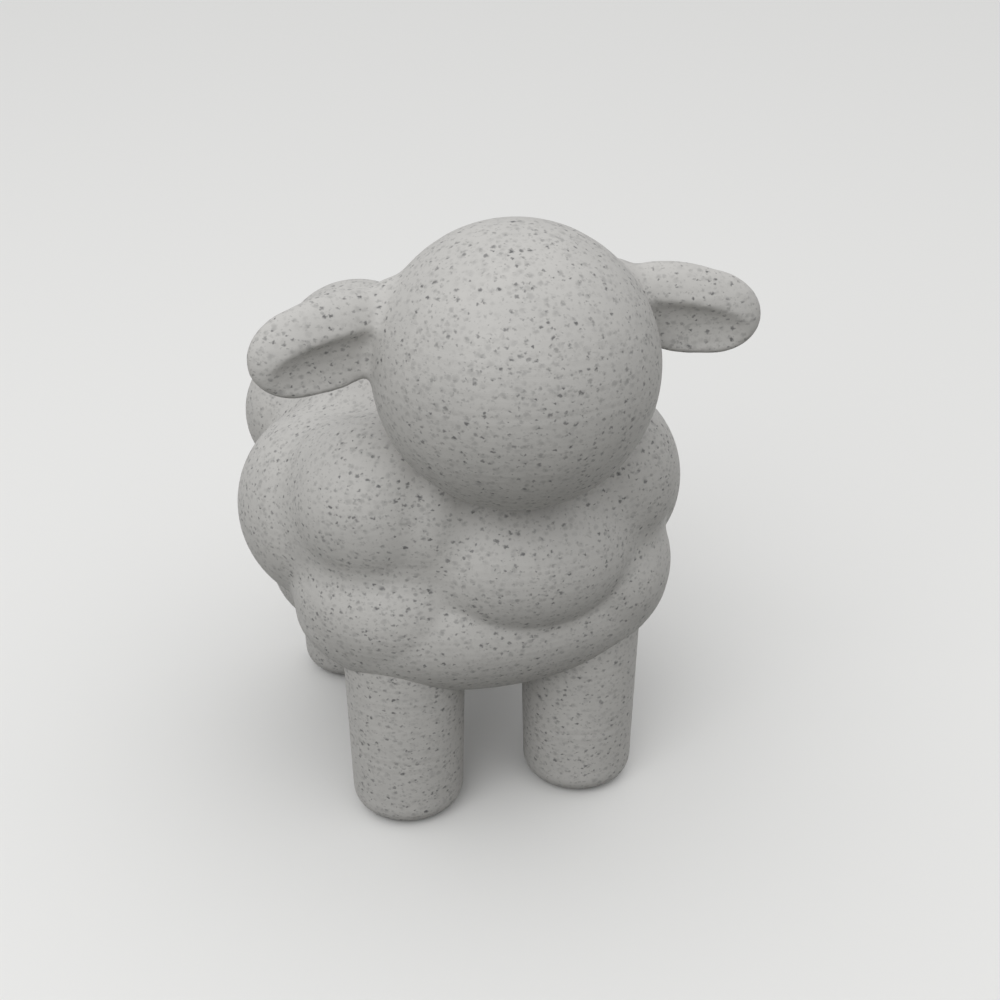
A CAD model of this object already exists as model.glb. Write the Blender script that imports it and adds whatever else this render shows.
from contextlib import contextmanager
from math import cos, radians, sin, tau
from typing import NamedTuple

import bmesh
import bpy
from bpy.props import FloatProperty, FloatVectorProperty, IntProperty, PointerProperty
from mathutils import Euler, Matrix, Vector


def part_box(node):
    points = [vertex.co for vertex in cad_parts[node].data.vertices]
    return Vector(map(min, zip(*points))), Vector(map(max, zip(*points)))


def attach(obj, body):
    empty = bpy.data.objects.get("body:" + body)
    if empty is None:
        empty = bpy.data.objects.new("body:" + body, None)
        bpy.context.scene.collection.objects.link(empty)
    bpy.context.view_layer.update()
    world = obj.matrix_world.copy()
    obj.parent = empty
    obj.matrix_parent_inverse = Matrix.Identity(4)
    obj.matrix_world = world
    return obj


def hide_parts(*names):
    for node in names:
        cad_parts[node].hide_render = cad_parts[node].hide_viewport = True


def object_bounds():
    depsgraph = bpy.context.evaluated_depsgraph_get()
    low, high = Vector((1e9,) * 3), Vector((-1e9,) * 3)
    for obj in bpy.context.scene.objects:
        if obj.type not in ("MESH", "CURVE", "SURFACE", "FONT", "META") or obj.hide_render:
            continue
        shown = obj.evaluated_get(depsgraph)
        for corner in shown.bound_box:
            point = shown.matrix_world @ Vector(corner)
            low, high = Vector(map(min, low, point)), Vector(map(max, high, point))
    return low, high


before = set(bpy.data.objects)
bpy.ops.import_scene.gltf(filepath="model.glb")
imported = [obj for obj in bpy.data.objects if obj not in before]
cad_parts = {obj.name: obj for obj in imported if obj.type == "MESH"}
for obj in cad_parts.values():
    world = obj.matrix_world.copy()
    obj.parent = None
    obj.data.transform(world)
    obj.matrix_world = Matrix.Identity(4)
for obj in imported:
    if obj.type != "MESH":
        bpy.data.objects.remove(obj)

bl_info = {
    "name": "Sheep figurine",
    "version": (1, 0, 0),
    "blender": (4, 5, 0),
    "location": "View3D > Sidebar > Sheep",
    "description": "Builds a speckled print of a sheep around its packed frame, with its stage",
    "category": "Object",
}

# The box of the packed model, before any piece is added.
CAD_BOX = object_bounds()

MM = 0.001
UP = Vector((0, 0, 1))
BACK = Vector((0, 1, 0))

BODY = "root"

# The sheep looks along -Y, so its left side is at +X.
SIDES = {"left": 1, "right": -1}
LEG_NAMES = [f"{end}_{side}" for end in ("front", "rear") for side in SIDES]

# Lengths of the leaning dowels, which their boxes don't give.
NECK_DOWEL_LENGTH = 24.0 * MM
EAR_DOWEL_LENGTH = 8.0 * MM

# Lobes of the fleece: centre across, along and up, then half width, half length and half height,
# as shares of the fleece's half width, half length and height. A paired lobe has a twin opposite.
PAIRED_LOBES = {
    "shoulder": ((0.45, -0.49, 0.625), (0.37, 0.325, 0.248)),
    "shoulder_back": ((0.555, -0.35, 0.56), (0.30, 0.30, 0.27)),
    "collar": ((0.30, -0.49, 0.60), (0.29, 0.36, 0.25)),
    "brisket_side": ((0.38, -0.385, 0.33), (0.455, 0.465, 0.265)),
    "flank": ((0.56, -0.08, 0.49), (0.44, 0.46, 0.30)),
    "lower_flank": ((0.48, 0.12, 0.23), (0.37, 0.41, 0.215)),
    "rear_flank": ((0.535, 0.535, 0.61), (0.33, 0.315, 0.225)),
    "rump": ((0.305, 0.61, 0.735), (0.385, 0.37, 0.265)),
    "back": ((0.28, 0.20, 0.745), (0.34, 0.33, 0.235)),
    "thigh": ((0.42, 0.55, 0.32), (0.37, 0.40, 0.275)),
}
SINGLE_LOBES = {
    "chest": ((0.09, -0.645, 0.48), (0.46, 0.355, 0.24)),
    "brisket": ((0, -0.41, 0.275), (0.83, 0.505, 0.275)),
    "belly": ((0, 0.15, 0.35), (0.76, 0.82, 0.31)),
    "core": ((0, 0.05, 0.59), (0.56, 0.73, 0.345)),
    "neck": ((0, -0.42, 0.76), (0.36, 0.35, 0.24)),
    "withers": ((0, -0.12, 0.745), (0.37, 0.35, 0.245)),
    "haunch": ((0, 0.70, 0.45), (0.47, 0.30, 0.245)),
}

# Fineness of round shapes: icosphere subdivisions, segments round a circle and across a rounded edge.
BALL_STEPS = 6
LOBE_STEPS = 5
LEG_SEGMENTS = 96
HOLE_SEGMENTS = 40
FOOT_SEGMENTS = 10

# A hollow is smoothed in full from a depth of one voxel divided by this number.
DIPS_PER_VOXEL = 100
# Edges that fold by more than this angle are shaded as sharp.
SHARP_ANGLE = radians(50)

# Noise in the plastic, as features in a metre.
CLOUDS_PER_METRE = 160.0
SKIN_GRAINS_PER_METRE = 2400.0
DOWEL_GRAINS_PER_METRE = 900.0

# How finely and how far the outlines of dark grains are torn, in speck radii.
TEARS_PER_RADIUS = 1.1
TEAR_REACH = 1.3
# Grains lie flat in their layer, wider than they are high.
GRAIN_FLATTENING = (1.0, 1.0, 1.35)
# Radius of the smallest grain of a kind, as a share of the largest.
SMALLEST_GRAIN = 0.35


class GrainKind(NamedTuple):
    """A kind of dark grain in the plastic."""

    # Shares of the finish's speck spacing and speck radius.
    spacing_share: float
    radius_share: float
    # Share of a grain's radius that is darkest, and the strength of the faintest grain.
    edge: float
    faintest: float
    # How far the strongest grain hides what lies below, and where the pattern starts.
    cover: float
    shift: tuple


# Kinds of grain in the order in which they cover each other.
GRAIN_KINDS = {
    "deep": GrainKind(
        spacing_share=0.9, radius_share=1.7, edge=0.05, faintest=0.1, cover=0.36, shift=(0.31, 0.17, 0.43)
    ),
    "dust": GrainKind(
        spacing_share=0.6, radius_share=0.6, edge=0.1, faintest=0.1, cover=0.45, shift=(0.07, 0.53, 0.29)
    ),
    "dark": GrainKind(
        spacing_share=1.0, radius_share=1.0, edge=0.3, faintest=0.3, cover=0.84, shift=(0.0, 0.0, 0.0)
    ),
}

# How far the roughness varies over the skin, and the dowels' worn colour as a share of their own.
ROUGHNESS_SPREAD = 0.12
WORN_SHARE = 0.85

# Relief of the printed skin in groove depths: one layer, bands of several layers, and fine grain.
RIPPLE_RELIEF = 0.1
BAND_RELIEF = 3.6
GRAIN_RELIEF = 1.2
BANDS_PER_LAYER = 0.3

# Sockets of a Mix node, whose colour sockets share their names with others.
MIX_FACTOR = 0
MIX_FIRST = 6
MIX_SECOND = 7
MIX_RESULT = 2

WHITE = (1.0, 1.0, 1.0, 1.0)
FLOOR_ROUGHNESS = 0.9
FLOOR_GLOSS = 0.1
# Height of a direction, from level at 0 to overhead at 1, from which the sky is brightest.
SKY_TOP_HEIGHT = 0.9
# A camera turned up by this angle from looking straight down looks level.
LEVEL_VIEW = radians(90)
CAMERA_NEAR = 1 * MM

# The lowest and highest corner of each node's box.
BOXES = {name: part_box(name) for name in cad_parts}
FLEECE_LOW, FLEECE_HIGH = BOXES["fleece_body"]
HEAD_LOW, HEAD_HIGH = BOXES["head"]


def middle(node):
    """The middle of a node's box."""
    low, high = BOXES[node]
    return (low + high) / 2


def extent(node):
    """The size of a node's box along each axis."""
    low, high = BOXES[node]
    return high - low


class FleeceShape(bpy.types.PropertyGroup):
    """Sizes of the lobed body"""

    width: FloatProperty(
        name="Width",
        description="Width over the flanks",
        default=FLEECE_HIGH.x - FLEECE_LOW.x,
        unit="LENGTH",
    )
    length: FloatProperty(
        name="Length",
        description="Length from the chest to the haunch, under the tail",
        default=82.4 * MM,
        unit="LENGTH",
    )
    height: FloatProperty(
        name="Height",
        description="Height from the brisket to the top of the rump",
        default=FLEECE_HIGH.z - FLEECE_LOW.z,
        unit="LENGTH",
    )
    voxel: FloatProperty(
        name="Voxel",
        description="Grain of the mesh that joins the lobes",
        default=0.6 * MM,
        unit="LENGTH",
    )
    crease_passes: IntProperty(
        name="Crease passes",
        description="How often the creases between the lobes are smoothed",
        default=12,
    )
    valley_rounds: IntProperty(
        name="Valley rounds",
        description="How far the upright valleys between the upper lobes are filled",
        default=12,
    )
    valley_passes: IntProperty(
        name="Valley passes",
        description="How often the valleys are smoothed in each round",
        default=40,
    )
    valley_start: FloatProperty(
        name="Valley start",
        description="Height from which valleys begin to be filled",
        default=44.0 * MM,
        unit="LENGTH",
    )
    valley_full: FloatProperty(
        name="Valley full",
        description="Height from which valleys are filled most",
        default=54.0 * MM,
        unit="LENGTH",
    )


class HeadShape(bpy.types.PropertyGroup):
    """Sizes of the head and the ears that grow out of it"""

    radius: FloatProperty(
        name="Head radius",
        description="Radius of the ball",
        default=(HEAD_HIGH.x - HEAD_LOW.x) / 2,
        unit="LENGTH",
    )
    neck_tilt: FloatProperty(
        name="Neck tilt",
        description="How far the neck's dowel leans from level",
        default=radians(50),
        subtype="ANGLE",
    )
    ear_length: FloatProperty(
        name="Ear length",
        description="Length of the ear's blade, with its hidden root",
        default=26.1 * MM,
        unit="LENGTH",
    )
    ear_width: FloatProperty(
        name="Ear width",
        description="Width of the ear's blade, from edge to edge",
        default=13.8 * MM,
        unit="LENGTH",
    )
    ear_thickness: FloatProperty(
        name="Ear thickness",
        description="Thickness of the ear's blade",
        default=8.0 * MM,
        unit="LENGTH",
    )
    ear_root: FloatProperty(
        name="Ear root",
        description="How much of the blade lies behind its seat in the head",
        default=2.0 * MM,
        unit="LENGTH",
    )
    ear_turn: FloatVectorProperty(
        name="Ear turn",
        description="Roll, droop and sweep of the left ear",
        default=(radians(-14.1), radians(9.8), radians(-11.9)),
        subtype="EULER",
    )
    scoop_size: FloatVectorProperty(
        name="Scoop size",
        description="Length, depth and width of the ball that hollows the ear",
        default=(38.0 * MM, 7.0 * MM, 11.4 * MM),
        subtype="XYZ_LENGTH",
    )
    scoop_depth: FloatProperty(
        name="Scoop depth",
        description="How deep the scoop goes into the front of the ear",
        default=3.2 * MM,
        unit="LENGTH",
    )
    scoop_drop: FloatProperty(
        name="Scoop drop",
        description="How far the scoop lies below the ear's middle line",
        default=4.9 * MM,
        unit="LENGTH",
    )
    scoop_outboard: FloatProperty(
        name="Scoop outboard",
        description="How far the scoop's middle lies past the ear's middle",
        default=2.6 * MM,
        unit="LENGTH",
    )
    tip_size: FloatVectorProperty(
        name="Tip size",
        description="Length, thickness and width of the swelling that rounds an ear's tip",
        default=(17.2 * MM, 6.6 * MM, 13.0 * MM),
        subtype="XYZ_LENGTH",
    )
    root_size: FloatVectorProperty(
        name="Root size",
        description="Length, thickness and width of the swelling where an ear leaves the head",
        default=(14.0 * MM, 9.0 * MM, 12.4 * MM),
        subtype="XYZ_LENGTH",
    )
    voxel: FloatProperty(
        name="Voxel",
        description="Grain of the mesh that joins head and ears",
        default=0.4 * MM,
        unit="LENGTH",
    )
    rim_passes: IntProperty(
        name="Rim passes",
        description="How often the ears' rims are smoothed",
        default=24,
    )
    flare_passes: IntProperty(
        name="Flare passes",
        description="How often the ears' roots are smoothed into the head",
        default=70,
    )
    flare_reach: FloatProperty(
        name="Flare reach",
        description="How far from the head's surface an ear's root is smoothed",
        default=4.5 * MM,
        unit="LENGTH",
    )
    ear_seam: FloatProperty(
        name="Ear seam",
        description="How far above the ball each ear is parted from the head",
        default=0.8 * MM,
        unit="LENGTH",
    )


class LegShape(bpy.types.PropertyGroup):
    """Sizes of the legs and the tail"""

    foot_radius: FloatProperty(
        name="Foot radius",
        description="Radius of a leg where it meets the floor, before rounding",
        default=9.5 * MM,
        unit="LENGTH",
    )
    foot_rounding: FloatProperty(
        name="Foot rounding",
        description="Radius of the rounded edge under the foot",
        default=3.8 * MM,
        unit="LENGTH",
    )
    tail_root: FloatProperty(
        name="Tail root",
        description="How much of the tail's oval is cut off at its seat",
        default=2.2 * MM,
        unit="LENGTH",
    )


class FitSizes(bpy.types.PropertyGroup):
    """Clearances between the pieces"""

    pocket_gap: FloatProperty(
        name="Pocket gap",
        description="Room between a piece and the pocket that takes it",
        default=0.05 * MM,
        unit="LENGTH",
    )
    dowel_gap: FloatProperty(
        name="Dowel gap",
        description="Room round a dowel in its hole",
        default=0.1 * MM,
        unit="LENGTH",
    )
    dowel_end_room: FloatProperty(
        name="Dowel end room",
        description="Room past each end of a dowel",
        default=0.5 * MM,
        unit="LENGTH",
    )


class PrintFinish(bpy.types.PropertyGroup):
    """Colours and grain of the speckled plastic"""

    base: FloatVectorProperty(
        name="Plastic",
        description="Colour of the off-white plastic",
        default=(0.585, 0.575, 0.555),
        subtype="COLOR",
    )
    shade: FloatVectorProperty(
        name="Cloud",
        description="Colour of the faint clouds in the plastic",
        default=(0.515, 0.508, 0.492),
        subtype="COLOR",
    )
    speck: FloatVectorProperty(
        name="Specks",
        description="Colour of the dark grains",
        default=(0.075, 0.076, 0.080),
        subtype="COLOR",
    )
    dowel: FloatVectorProperty(
        name="Dowel",
        description="Colour of the plain dowels",
        default=(0.42, 0.42, 0.40),
        subtype="COLOR",
    )
    speck_spacing: FloatProperty(
        name="Speck spacing",
        description="Mean distance between dark grains",
        default=1.2 * MM,
        unit="LENGTH",
    )
    speck_radius: FloatProperty(
        name="Speck radius",
        description="Radius of the largest dark grains",
        default=0.56 * MM,
        unit="LENGTH",
    )
    layer: FloatProperty(
        name="Layer",
        description="Height of one printed layer",
        default=0.28 * MM,
        unit="LENGTH",
    )
    groove: FloatProperty(
        name="Groove",
        description="Depth of the grooves between layers",
        default=0.012 * MM,
        unit="LENGTH",
    )
    roughness: FloatProperty(
        name="Roughness",
        description="Roughness of the printed surface",
        default=0.56,
        subtype="FACTOR",
    )


class StageSettings(bpy.types.PropertyGroup):
    """Camera, lamp, sky and floor"""

    camera_place: FloatVectorProperty(
        name="Camera place",
        description="Where the camera stands",
        default=(-61.6 * MM, -228.4 * MM, 164.2 * MM),
        subtype="XYZ_LENGTH",
    )
    camera_pitch: FloatProperty(
        name="Camera pitch",
        description="How far the camera looks down",
        default=radians(26.19),
        subtype="ANGLE",
    )
    camera_pan: FloatProperty(
        name="Camera pan",
        description="How far the camera is turned to the sheep's left",
        default=radians(16.58),
        subtype="ANGLE",
    )
    lens: FloatProperty(
        name="Lens",
        description="Focal length in millimetres on a sensor 36 mm wide",
        default=54.0,
    )
    floor: FloatVectorProperty(
        name="Floor",
        description="Colour of the plain floor",
        default=(0.82, 0.82, 0.81),
        subtype="COLOR",
    )
    floor_bounce: FloatVectorProperty(
        name="Floor bounce",
        description="Colour that the floor shows to the object's underside",
        default=(0.10, 0.10, 0.09),
        subtype="COLOR",
    )
    floor_size: FloatProperty(
        name="Floor size",
        description="Width of the square floor",
        default=8.0,
        unit="LENGTH",
    )
    key_place: FloatVectorProperty(
        name="Key lamp place",
        description="Where the large soft lamp hangs",
        default=(-0.52, -0.64, 0.65),
        subtype="XYZ_LENGTH",
    )
    key_size: FloatProperty(
        name="Key lamp size",
        description="Width of the large soft lamp",
        default=0.8,
        unit="LENGTH",
    )
    key_power: FloatProperty(
        name="Key lamp power",
        description="Power of the large soft lamp",
        default=3.6,
        unit="POWER",
    )
    sky_level: FloatProperty(
        name="Sky level",
        description="Strength of the soft light from the horizon",
        default=0.33,
    )
    sky_top: FloatProperty(
        name="Sky top",
        description="Strength of the soft light from overhead",
        default=0.98,
    )
    backdrop: FloatProperty(
        name="Backdrop",
        description="Strength at which the sky shows behind the floor",
        default=0.665,
    )


def add_object(name, data):
    """Adds an object to the scene, at the origin."""
    added = bpy.data.objects.new(name, data)
    bpy.context.scene.collection.objects.link(added)
    return added


def new_piece(name, bm):
    """Turns a bmesh into an object at the origin."""
    mesh = bpy.data.meshes.new(name)
    bm.to_mesh(mesh)
    bm.free()
    return add_object(name, mesh)


def copy_of(piece, name):
    """A copy of a piece, with a mesh of its own."""
    return add_object(name, piece.data.copy())


@contextmanager
def edited(mesh):
    """Opens a mesh as a bmesh and writes it back at the end."""
    bm = bmesh.new()
    bm.from_mesh(mesh)
    yield bm
    bm.to_mesh(mesh)
    bm.free()


def apply_modifiers(piece):
    """Makes the result of a piece's modifiers its own mesh."""
    depsgraph = bpy.context.evaluated_depsgraph_get()
    shaped = bpy.data.meshes.new_from_object(piece.evaluated_get(depsgraph))
    plain = piece.data
    piece.modifiers.clear()
    piece.data = shaped
    bpy.data.meshes.remove(plain)
    shaped.name = piece.name


def combine(piece, operation, tools):
    """Joins tools to a piece, cuts them out or keeps what they share, then removes the tools."""
    for tool in tools:
        modifier = piece.modifiers.new(tool.name, "BOOLEAN")
        modifier.operation = operation
        modifier.solver = "MANIFOLD"
        modifier.object = tool
    apply_modifiers(piece)
    for tool in tools:
        bpy.data.objects.remove(tool)


def join_and_smooth(piece, voxel, passes):
    """Joins overlapping shells into one skin and softens its creases."""
    remesh = piece.modifiers.new("Skin", "REMESH")
    remesh.mode = "VOXEL"
    remesh.voxel_size = voxel
    smooth = piece.modifiers.new("Soften", "SMOOTH")
    smooth.iterations = passes
    apply_modifiers(piece)


def smooth_where(piece, weights, passes):
    """Smooths a piece by the weight of each vertex, given as {index: weight}."""
    group = piece.vertex_groups.new(name="smooth_where")
    for index, weight in weights.items():
        group.add([index], weight, "REPLACE")
    smooth = piece.modifiers.new("Smooth where", "SMOOTH")
    smooth.iterations = passes
    smooth.vertex_group = group.name
    apply_modifiers(piece)
    piece.vertex_groups.clear()


def oval(bm, place, half_sizes, steps=LOBE_STEPS):
    """Adds a ball stretched to three half sizes."""
    stretch = Matrix.Diagonal((*half_sizes, 1))
    bmesh.ops.create_icosphere(bm, subdivisions=steps, radius=1, matrix=place @ stretch)


def cut_flat(bm, point, normal):
    """Cuts off what lies behind a plane and closes the cut."""
    everything = bm.verts[:] + bm.edges[:] + bm.faces[:]
    bmesh.ops.bisect_plane(
        bm, geom=everything, plane_co=point, plane_no=normal, clear_inner=True
    )
    rim = [edge for edge in bm.edges if edge.is_boundary]
    bmesh.ops.holes_fill(bm, edges=rim)
    bmesh.ops.recalc_face_normals(bm, faces=bm.faces)


def drop_spare_points(mesh):
    """Dissolves points that only two edges use, which a cut leaves along its rim."""
    with edited(mesh) as bm:
        spare = [vertex for vertex in bm.verts if len(vertex.link_edges) == 2]
        bmesh.ops.dissolve_verts(bm, verts=spare)


def dress(piece, node):
    """Puts a finished piece on the frame in place of a node."""
    mesh = piece.data
    if not mesh.polygons:
        raise RuntimeError(f"{piece.name} has no faces")
    drop_spare_points(mesh)
    mesh.shade_smooth()
    mesh.set_sharp_from_angle(angle=SHARP_ANGLE)
    mesh.materials.clear()
    mesh.materials.append(shared(speckled_plastic))
    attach(piece, BODY)
    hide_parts(node)


class Wire:
    """An output socket in a node tree; sums on wires and numbers add Math nodes.

    A wire without a socket only starts a tree off.
    """

    def __init__(self, tree, socket=None):
        self.tree = tree
        self.socket = socket

    def node(self, kind, settings, sockets, output=0):
        """Adds a node of any kind and gives one of its outputs."""
        made = self.tree.nodes.new(kind)
        for name, value in settings.items():
            setattr(made, name, value)
        for name, value in sockets.items():
            if isinstance(value, Wire):
                value.feed(made, name)
            else:
                made.inputs[name].default_value = value
        return Wire(self.tree, made.outputs[output])

    def beside(self, output):
        """Another output of the wire's own node."""
        return Wire(self.tree, self.socket.node.outputs[output])

    def feed(self, node, name):
        """Links the wire to a node's input."""
        self.tree.links.new(self.socket, node.inputs[name])

    def math(self, operation, first, second=0.0):
        """Adds a Math node for one or two wires or numbers."""
        return self.node("ShaderNodeMath", {"operation": operation}, {0: first, 1: second})

    def __add__(self, other):
        return self.math("ADD", self, other)

    __radd__ = __add__

    def __sub__(self, other):
        return self.math("SUBTRACT", self, other)

    def __rsub__(self, other):
        return self.math("SUBTRACT", other, self)

    def __mul__(self, other):
        return self.math("MULTIPLY", self, other)

    __rmul__ = __mul__


def mixed(factor, first, second):
    """A colour between two colours."""
    settings = {"data_type": "RGBA", "clamp_factor": True}
    sockets = {MIX_FACTOR: factor, MIX_FIRST: first, MIX_SECOND: second}
    return factor.node("ShaderNodeMix", settings, sockets, output=MIX_RESULT)


def faded(value, start, end):
    """1 below start, 0 above end and a soft step between."""
    settings = {"interpolation_type": "SMOOTHSTEP"}
    sockets = {"Value": value, "From Min": start, "From Max": end, "To Min": 1.0, "To Max": 0.0}
    return value.node("ShaderNodeMapRange", settings, sockets)


def noise(place, scale, detail, output=0):
    """A soft noise over a surface."""
    sockets = {"Vector": place, "Scale": scale, "Detail": detail}
    return place.node("ShaderNodeTexNoise", {}, sockets, output=output)


def new_material(name):
    """A new material and its shader."""
    material = bpy.data.materials.new(name)
    material.use_nodes = True
    return material, material.node_tree.nodes["Principled BSDF"]


def object_place(material):
    """Object coordinates in a material."""
    return Wire(material.node_tree).node("ShaderNodeTexCoord", {}, {}, output="Object")


def shared(maker):
    """A material that is made once, under its maker's name, and then shared."""
    return bpy.data.materials.get(maker.__name__) or maker()


def torn(place, radius):
    """Coordinates pushed about by a fine noise, which tears the outlines of grains."""
    push = noise(place, TEARS_PER_RADIUS / radius, detail=1.0, output="Color")
    sockets = {0: push, 1: [TEAR_REACH * radius] * 3, 2: place}
    return push.node("ShaderNodeVectorMath", {"operation": "MULTIPLY_ADD"}, sockets)


def grains(place, spacing, radius, kind):
    """A mask of scattered flat grains of mixed size and strength."""
    sockets = {"Vector": place, "Location": kind.shift, "Scale": GRAIN_FLATTENING}
    lying = place.node("ShaderNodeMapping", {}, sockets)
    settings = {"voronoi_dimensions": "3D", "feature": "F1"}
    sockets = {"Vector": lying, "Scale": 1 / spacing}
    distance = lying.node("ShaderNodeTexVoronoi", settings, sockets, output="Distance")
    cell = distance.beside("Color")
    chance = cell.node("ShaderNodeSeparateColor", {}, {"Color": cell}, output="Red")
    strength = kind.faintest + (1 - kind.faintest) * chance.beside("Green")
    reach = (SMALLEST_GRAIN + (1 - SMALLEST_GRAIN) * chance) * (radius / spacing)
    return faded(distance, reach * kind.edge, reach) * strength


def speckled_plastic():
    """Off-white plastic with dark grains at and under its skin, printed in fine layers."""
    finish = bpy.context.scene.sheep_finish
    material, shader = new_material("speckled_plastic")
    place = object_place(material)

    clouds = noise(place, CLOUDS_PER_METRE, detail=3.0)
    colour = mixed(clouds, (*finish.base, 1), (*finish.shade, 1))
    torn_place = torn(place, finish.speck_radius)
    for kind in GRAIN_KINDS.values():
        spacing = finish.speck_spacing * kind.spacing_share
        radius = finish.speck_radius * kind.radius_share
        mask = grains(torn_place, spacing, radius, kind)
        colour = mixed(mask * kind.cover, colour, (*finish.speck, 1))
    colour.feed(shader, "Base Color")

    grain = noise(place, SKIN_GRAINS_PER_METRE, detail=2.0)
    rough = finish.roughness - ROUGHNESS_SPREAD / 2 + ROUGHNESS_SPREAD * grain
    rough.feed(shader, "Roughness")

    height = place.node("ShaderNodeSeparateXYZ", {}, {"Vector": place}, output="Z")
    ripple = height.math("SINE", height * (tau / finish.layer))
    sockets = {"W": height, "Scale": BANDS_PER_LAYER / finish.layer, "Detail": 0.0}
    bands = height.node("ShaderNodeTexNoise", {"noise_dimensions": "1D"}, sockets)
    relief = RIPPLE_RELIEF * ripple + BAND_RELIEF * bands + GRAIN_RELIEF * grain
    sockets = {"Height": relief, "Distance": finish.groove, "Strength": 1.0}
    relief.node("ShaderNodeBump", {}, sockets).feed(shader, "Normal")
    return material


def dowel_plastic():
    """Plain, slightly mottled print for the dowels."""
    finish = bpy.context.scene.sheep_finish
    material, shader = new_material("dowel_plastic")
    shader.inputs["Roughness"].default_value = finish.roughness
    grain = noise(object_place(material), DOWEL_GRAINS_PER_METRE, detail=3.0)
    worn = [channel * WORN_SHARE for channel in finish.dowel]
    mixed(grain, (*finish.dowel, 1), (*worn, 1)).feed(shader, "Base Color")
    return material


def seen_rays(tree):
    """1 for rays that carry a picture to the camera, 0 for those that only carry light."""
    direct = Wire(tree).node("ShaderNodeLightPath", {}, {}, output="Is Camera Ray")
    glossy = direct.beside("Is Glossy Ray")
    clear = direct.beside("Is Transmission Ray")
    return direct.math("MAXIMUM", direct, direct.math("MAXIMUM", glossy, clear))


def floor_paint():
    """Matt paint that looks paler to the camera than to the underside of the sheep."""
    stage = bpy.context.scene.sheep_stage
    material, shader = new_material("floor")
    shader.inputs["Roughness"].default_value = FLOOR_ROUGHNESS
    shader.inputs["Specular IOR Level"].default_value = FLOOR_GLOSS
    seen = seen_rays(material.node_tree)
    mixed(seen, (*stage.floor_bounce, 1), (*stage.floor, 1)).feed(shader, "Base Color")
    return material


def neck_axis():
    """The neck's direction, which leans forwards from the fleece into the head."""
    tilt = bpy.context.scene.sheep_head.neck_tilt
    return Vector((0, -cos(tilt), sin(tilt)))


def ear_place(side):
    """Where the left or right ear is seated: X runs along the ear."""
    turn = Euler(bpy.context.scene.sheep_head.ear_turn).to_matrix().to_4x4()
    left = Matrix.Translation(middle("ear_dowel_left")) @ turn
    return Matrix.Diagonal((SIDES[side], 1, 1, 1)) @ left


def ear_axis(side):
    """The direction of the left or right ear, out of the head."""
    return ear_place(side).to_3x3().col[0].normalized()


def dowel_line(node):
    """A dowel's axis and length."""
    if node == "neck_dowel":
        return neck_axis(), NECK_DOWEL_LENGTH
    if node.startswith("ear_dowel_"):
        return ear_axis(node.removeprefix("ear_dowel_")), EAR_DOWEL_LENGTH
    if node == "tail_dowel":
        return BACK, extent(node).y
    return UP, extent(node).z


def dowel_radius(node):
    """A dowel's radius, from the side of its box that lies most across its axis."""
    axis, length = dowel_line(node)
    across = min(range(3), key=lambda i: abs(axis[i]))
    lean = (1 - axis[across] ** 2) ** 0.5
    return (extent(node)[across] - length * abs(axis[across])) / 2 / lean


def dowel_hole(node):
    """A tool for the hole that takes a dowel, centred on the dowel."""
    fits = bpy.context.scene.sheep_fits
    axis, length = dowel_line(node)
    radius = dowel_radius(node) + fits.dowel_gap
    turn = axis.to_track_quat("Z", "Y").to_matrix().to_4x4()
    bm = bmesh.new()
    bmesh.ops.create_cone(
        bm,
        cap_ends=True,
        segments=HOLE_SEGMENTS,
        radius1=radius,
        radius2=radius,
        depth=length + 2 * fits.dowel_end_room,
        matrix=Matrix.Translation(middle(node)) @ turn,
    )
    return new_piece(f"{node}_hole", bm)


def head_centre():
    """The middle of the head's ball."""
    radius = bpy.context.scene.sheep_head.radius
    return Vector((0, HEAD_LOW.y + radius, HEAD_HIGH.z - radius))


def head_ball(gap=0.0):
    """The head's ball, grown by a gap."""
    radius = bpy.context.scene.sheep_head.radius + gap
    bm = bmesh.new()
    oval(bm, Matrix.Translation(head_centre()), [radius] * 3, BALL_STEPS)
    return bm


def cut_neck(bm):
    """Cuts the head's ball flat where it sits on the neck."""
    cut_flat(bm, middle("neck_dowel"), neck_axis())


def ear_oval(name, side, centre, half_sizes):
    """A ball stretched along an ear's own axes."""
    bm = bmesh.new()
    oval(bm, ear_place(side) @ Matrix.Translation(centre), half_sizes)
    bmesh.ops.recalc_face_normals(bm, faces=bm.faces)
    return new_piece(name, bm)


def ear_blade(side):
    """An ear's oval blade, fuller at root and tip, with its scoop."""
    head = bpy.context.scene.sheep_head
    along = head.ear_length / 2 - head.ear_root
    half_sizes = Vector((head.ear_length, head.ear_thickness, head.ear_width)) / 2
    blade = ear_oval(f"ear_blade_{side}", side, (along, 0, 0), half_sizes)
    root = ear_oval(f"ear_root_{side}", side, (0, 0, 0), Vector(head.root_size) / 2)
    tip_half = Vector(head.tip_size) / 2
    tip_middle = (head.ear_length - head.ear_root - tip_half.x, 0, 0)
    tip = ear_oval(f"ear_tip_{side}", side, tip_middle, tip_half)
    combine(blade, "UNION", [root, tip])

    scoop_half = Vector(head.scoop_size) / 2
    front = -head.ear_thickness / 2 + head.scoop_depth - scoop_half.y
    scoop_middle = (along + head.scoop_outboard, front, -head.scoop_drop)
    scoop = ear_oval(f"ear_scoop_{side}", side, scoop_middle, scoop_half)
    combine(blade, "DIFFERENCE", [scoop])
    return blade


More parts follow.
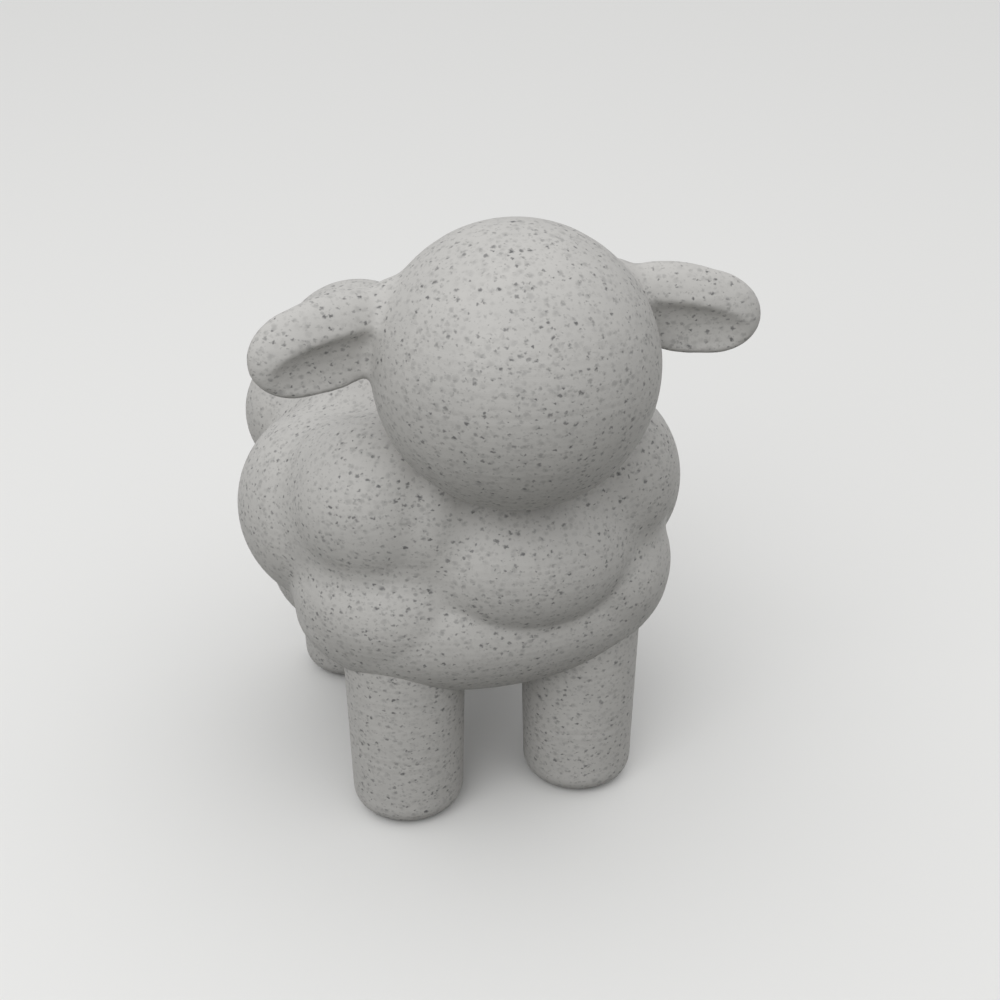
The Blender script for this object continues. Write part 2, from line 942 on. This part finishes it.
def flare_weights(skin):
    """Weights for vertices round the ears' roots, strongest at the ball's surface."""
    head = bpy.context.scene.sheep_head
    centre = head_centre()
    seats = [middle(f"ear_dowel_{side}") for side in SIDES]
    weights = {}
    for vertex in skin.data.vertices:
        above = abs((vertex.co - centre).length - head.radius)
        beside = min((vertex.co - seat).length for seat in seats)
        if above < head.flare_reach and beside < head.ear_width:
            weights[vertex.index] = 1 - above / head.flare_reach
    return weights


def head_and_ears():
    """Ball and ears in one skin, with the ears' roots flared into the ball."""
    head = bpy.context.scene.sheep_head
    bm = head_ball()
    for side in SIDES:
        blade = ear_blade(side)
        bm.from_mesh(blade.data)
        bpy.data.objects.remove(blade)
    skin = new_piece("head_and_ears", bm)
    join_and_smooth(skin, head.voxel, head.rim_passes)
    smooth_where(skin, flare_weights(skin), head.flare_passes)
    return skin


def seam_ball():
    """The ball that parts the ears from the head."""
    return new_piece("ear_seam", head_ball(bpy.context.scene.sheep_head.ear_seam))


def keep_side(piece, side):
    """Deletes what a piece has on the other side of the middle plane."""
    with edited(piece.data) as bm:
        other = [vertex for vertex in bm.verts if vertex.co.x * SIDES[side] < 0]
        bmesh.ops.delete(bm, geom=other, context="VERTS")


def leg_post(name, gap=0.0):
    """A tapered leg from the floor to its seat, grown by a gap."""
    size = extent(f"leg_{name}")
    place = middle(f"leg_{name}")
    place.z = size.z / 2
    bm = bmesh.new()
    bmesh.ops.create_cone(
        bm,
        cap_ends=True,
        segments=LEG_SEGMENTS,
        radius1=bpy.context.scene.sheep_legs.foot_radius + gap,
        radius2=size.x / 2 + gap,
        depth=size.z,
        matrix=Matrix.Translation(place),
    )
    return bm


def round_foot(bm):
    """Rounds the edge of a leg's sole."""
    sole = min(bm.faces, key=lambda face: face.calc_center_median().z)
    bmesh.ops.bevel(
        bm,
        geom=sole.edges[:],
        offset=bpy.context.scene.sheep_legs.foot_rounding,
        offset_type="OFFSET",
        affect="EDGES",
        segments=FOOT_SEGMENTS,
        profile=0.5,
        material=-1,
    )


def tail_knob(gap=0.0):
    """The tail's oval knob, cut flat at its seat and grown by a gap."""
    low, high = BOXES["tail"]
    root = bpy.context.scene.sheep_legs.tail_root
    half = Vector((high.x - low.x, high.y - low.y + root, high.z - low.z)) / 2
    centre = Vector((0, high.y - half.y, (low.z + high.z) / 2))
    bm = bmesh.new()
    oval(bm, Matrix.Translation(centre), half + Vector([gap] * 3))
    cut_flat(bm, low.y * BACK, BACK)
    return bm


def valley_weights(skin):
    """Weights for vertices that lie in a hollow of the fleece, fading in between two heights."""
    shape = bpy.context.scene.sheep_fleece
    fade = shape.valley_full - shape.valley_start
    dip = shape.voxel / DIPS_PER_VOXEL
    weights = {}
    bm = bmesh.new()
    bm.from_mesh(skin.data)
    for vertex in bm.verts:
        rise = (vertex.co.z - shape.valley_start) / fade
        if rise > 0:
            ring = [edge.other_vert(vertex).co for edge in vertex.link_edges]
            hollow = (sum(ring, Vector()) / len(ring) - vertex.co).dot(vertex.normal)
            if hollow > 0:
                weights[vertex.index] = min(1, rise) * min(1, hollow / dip)
    bm.free()
    return weights


def lobed_skin():
    """The fleece's lobes in one skin with rounded valleys, before its pockets are cut."""
    shape = bpy.context.scene.sheep_fleece
    scale = Vector((shape.width / 2, shape.length / 2, shape.height))
    origin = Vector((0, FLEECE_LOW.y + shape.length / 2, FLEECE_LOW.z))
    lobes = [*PAIRED_LOBES.values(), *SINGLE_LOBES.values()]
    lobes += [((-across, *place), sizes) for (across, *place), sizes in PAIRED_LOBES.values()]
    bm = bmesh.new()
    for centre, half_sizes in lobes:
        point = origin + scale * Vector(centre)
        oval(bm, Matrix.Translation(point), scale * Vector(half_sizes))
    skin = new_piece("fleece", bm)
    join_and_smooth(skin, shape.voxel, shape.crease_passes)
    for _ in range(shape.valley_rounds):
        smooth_where(skin, valley_weights(skin), shape.valley_passes)
    return skin


def head_pocket(gap):
    """A tool for the pocket that takes the head."""
    bm = head_ball(gap)
    cut_neck(bm)
    return new_piece("head_pocket", bm)


class SHEEP_OT_fleece(bpy.types.Operator):
    """Make the lobed fleece with its pockets"""

    bl_idname = "sheep.fleece"
    bl_label = "Fleece"

    def execute(self, context):
        gap = context.scene.sheep_fits.pocket_gap
        fleece = lobed_skin()
        tools = [head_pocket(gap), new_piece("tail_pocket", tail_knob(gap))]
        tools += [dowel_hole("neck_dowel"), dowel_hole("tail_dowel")]
        for name in LEG_NAMES:
            tools.append(new_piece(f"leg_pocket_{name}", leg_post(name, gap)))
            tools.append(dowel_hole(f"leg_dowel_{name}"))
        combine(fleece, "DIFFERENCE", tools)
        dress(fleece, "fleece_body")
        return {"FINISHED"}


class SHEEP_OT_head(bpy.types.Operator):
    """Make the head and both ears from one skin"""

    bl_idname = "sheep.head"
    bl_label = "Head and ears"

    def execute(self, context):
        skin = head_and_ears()
        for side in SIDES:
            ear = copy_of(skin, f"spoon_ear_{side}")
            combine(ear, "DIFFERENCE", [seam_ball()])
            keep_side(ear, side)
            dress(ear, f"ear_{side}")

        ball = copy_of(skin, "ball_head")
        bpy.data.objects.remove(skin)
        combine(ball, "INTERSECT", [seam_ball()])
        with edited(ball.data) as bm:
            cut_neck(bm)
        holes = [dowel_hole("neck_dowel")]
        holes += [dowel_hole(f"ear_dowel_{side}") for side in SIDES]
        combine(ball, "DIFFERENCE", holes)
        dress(ball, "head")
        return {"FINISHED"}


class SHEEP_OT_legs(bpy.types.Operator):
    """Make the four legs"""

    bl_idname = "sheep.legs"
    bl_label = "Legs"

    def execute(self, context):
        for name in LEG_NAMES:
            bm = leg_post(name)
            round_foot(bm)
            leg = new_piece(f"round_leg_{name}", bm)
            combine(leg, "DIFFERENCE", [dowel_hole(f"leg_dowel_{name}")])
            dress(leg, f"leg_{name}")
        return {"FINISHED"}


class SHEEP_OT_tail(bpy.types.Operator):
    """Make the tail"""

    bl_idname = "sheep.tail"
    bl_label = "Tail"

    def execute(self, context):
        tail = new_piece("round_tail", tail_knob())
        combine(tail, "DIFFERENCE", [dowel_hole("tail_dowel")])
        dress(tail, "tail")
        return {"FINISHED"}


class SHEEP_OT_dowels(bpy.types.Operator):
    """Give the dowels their finish"""

    bl_idname = "sheep.dowels"
    bl_label = "Dowels"

    def execute(self, context):
        plastic = shared(dowel_plastic)
        for name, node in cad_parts.items():
            if "dowel" in name:
                node.data.materials.clear()
                node.data.materials.append(plastic)
        return {"FINISHED"}


class SHEEP_OT_stage(bpy.types.Operator):
    """Make the floor, the lamp, the sky and the camera"""

    bl_idname = "sheep.stage"
    bl_label = "Stage"

    def execute(self, context):
        stage = context.scene.sheep_stage
        self.make_floor(stage)
        self.make_lamp(stage)
        self.make_sky(context.scene, stage)
        self.make_camera(context.scene, stage)
        context.scene.view_settings.view_transform = "Standard"
        return {"FINISHED"}

    def make_floor(self, stage):
        """Lays a plain square floor."""
        bm = bmesh.new()
        bmesh.ops.create_grid(bm, x_segments=1, y_segments=1, size=stage.floor_size / 2)
        floor = new_piece("floor", bm)
        floor.data.materials.append(floor_paint())

    def make_lamp(self, stage):
        """Hangs a large soft lamp that points at the sheep."""
        lamp = bpy.data.lights.new("key_lamp", "AREA")
        lamp.size = stage.key_size
        lamp.energy = stage.key_power
        key = add_object("key_lamp", lamp)
        key.location = stage.key_place
        aim = (CAD_BOX[0] + CAD_BOX[1]) / 2 - key.location
        key.rotation_euler = aim.to_track_quat("-Z", "Y").to_euler()

    def make_sky(self, scene, stage):
        """Lights the scene from a sky that brightens upwards, and shows an even backdrop."""
        world = bpy.data.worlds.new("sky")
        world.use_nodes = True
        tree = world.node_tree
        direction = Wire(tree).node("ShaderNodeTexCoord", {}, {}, output="Generated")
        up = direction.node("ShaderNodeSeparateXYZ", {}, {"Vector": direction}, output="Z")
        low = faded(up, 0.0, SKY_TOP_HEIGHT)
        soft = stage.sky_top + low * (stage.sky_level - stage.sky_top)
        strength = soft + seen_rays(tree) * (stage.backdrop - soft)
        background = tree.nodes["Background"]
        background.inputs["Color"].default_value = WHITE
        strength.feed(background, "Strength")
        scene.world = world

    def make_camera(self, scene, stage):
        """Places the camera and makes it the scene's own."""
        camera = add_object("camera", bpy.data.cameras.new("camera"))
        camera.data.lens = stage.lens
        camera.data.clip_start = CAMERA_NEAR
        camera.location = stage.camera_place
        camera.rotation_euler = (LEVEL_VIEW - stage.camera_pitch, 0, -stage.camera_pan)
        scene.camera = camera


class SHEEP_PT_panel(bpy.types.Panel):
    """Lists the sheep's settings and steps"""

    bl_label = "Sheep figurine"
    bl_idname = "SHEEP_PT_panel"
    bl_space_type = "VIEW_3D"
    bl_region_type = "UI"
    bl_category = "Sheep"

    def draw(self, context):
        layout = self.layout
        for name, group in SETTINGS.items():
            box = layout.box()
            box.label(text=group.__doc__)
            for setting in group.__annotations__:
                box.prop(getattr(context.scene, name), setting)
        for operator in STEPS:
            layout.operator(operator.bl_idname)


SETTINGS = {
    "sheep_fleece": FleeceShape,
    "sheep_head": HeadShape,
    "sheep_legs": LegShape,
    "sheep_fits": FitSizes,
    "sheep_finish": PrintFinish,
    "sheep_stage": StageSettings,
}
STEPS = (
    SHEEP_OT_fleece,
    SHEEP_OT_head,
    SHEEP_OT_legs,
    SHEEP_OT_tail,
    SHEEP_OT_dowels,
    SHEEP_OT_stage,
)


def register():
    """Registers the settings, the steps and the panel."""
    for name, group in SETTINGS.items():
        bpy.utils.register_class(group)
        setattr(bpy.types.Scene, name, PointerProperty(type=group))
    for cls in (*STEPS, SHEEP_PT_panel):
        bpy.utils.register_class(cls)


def unregister():
    """Takes back what register did, in reverse."""
    for cls in reversed((*STEPS, SHEEP_PT_panel)):
        bpy.utils.unregister_class(cls)
    for name, group in reversed(SETTINGS.items()):
        delattr(bpy.types.Scene, name)
        bpy.utils.unregister_class(group)


def main():
    """Builds the sheep and its stage, and writes the boxes of solids and finished pieces."""
    register()
    bpy.ops.sheep.fleece()
    bpy.ops.sheep.head()
    bpy.ops.sheep.legs()
    bpy.ops.sheep.tail()
    bpy.ops.sheep.dowels()
    bpy.ops.sheep.stage()


if __name__ == "__main__":
    main()
